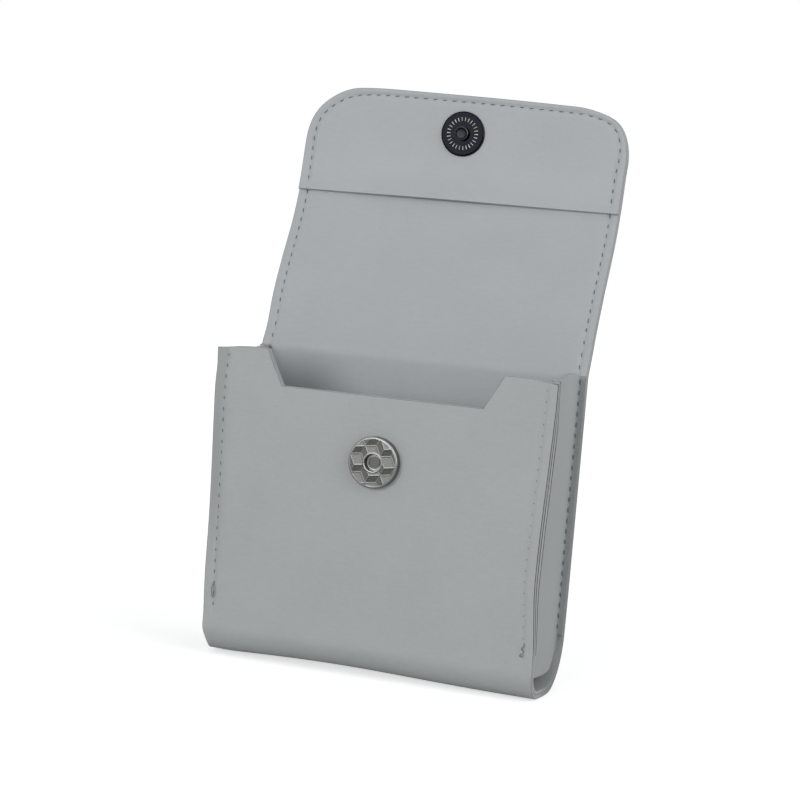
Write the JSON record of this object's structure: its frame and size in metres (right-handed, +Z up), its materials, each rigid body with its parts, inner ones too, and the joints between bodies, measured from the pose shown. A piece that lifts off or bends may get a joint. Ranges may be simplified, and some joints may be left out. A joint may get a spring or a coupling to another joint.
{
  "type": "game console case",
  "caption": "Upright leather pouch with folded side gussets, a finger notch in the front and a long flap that folds over the top and closes on a magnetic snap.",
  "frame": {"origin": "middle of the flat strip under the base that the case stands on", "axes": "+Z up from the base to the flap's tip, +Y from the notched front to the back panel, +X along the width to the right when seen from the front"},
  "size_m": [0.097, 0.0579, 0.1626],
  "materials": {
    "leather": "light grey coated leather with a fine grain, satin",
    "lining": "light grey coated lining, smoother than the outside",
    "nickel": "bright nickel plate",
    "dark_nickel": "smooth nickel plate that mirrors dark surroundings",
    "steel": "plain zinc-plated steel",
    "magnet": "sintered magnet"
  },
  "bodies": {
    "pouch": {"outer_shell": "leather", "pocket_lining": "lining", "gusset_left": "leather", "gusset_right": "leather", "socket_cap": "nickel", "socket_magnet": "magnet", "socket_plate": "steel", "socket_rivet": "nickel", "socket_prongs": "steel", "socket_washer": "steel"},
    "flap_span": {"span_outer": "leather", "span_lining": "lining"},
    "flap_tip": {"tip_outer": "leather", "tip_lining": "lining", "tip_facing": "lining", "stud_disc": "dark_nickel", "stud_post": "dark_nickel", "stud_prongs": "steel", "stud_washer": "steel"}
  },
  "joints": [
    {"name": "flap_hinge", "type": "hinge", "parent": "pouch", "child": "flap_span", "pos_m": [0, 0.01795, 0.0865], "axis": [1, 0, 0], "range_deg": [-100, 96.1]},
    {"name": "flap_fold", "type": "hinge", "parent": "flap_span", "child": "flap_tip", "pos_m": [0, 0.03155, 0.11262], "axis": [1, 0, 0], "range_deg": [-45, 84.9]}
  ]
}
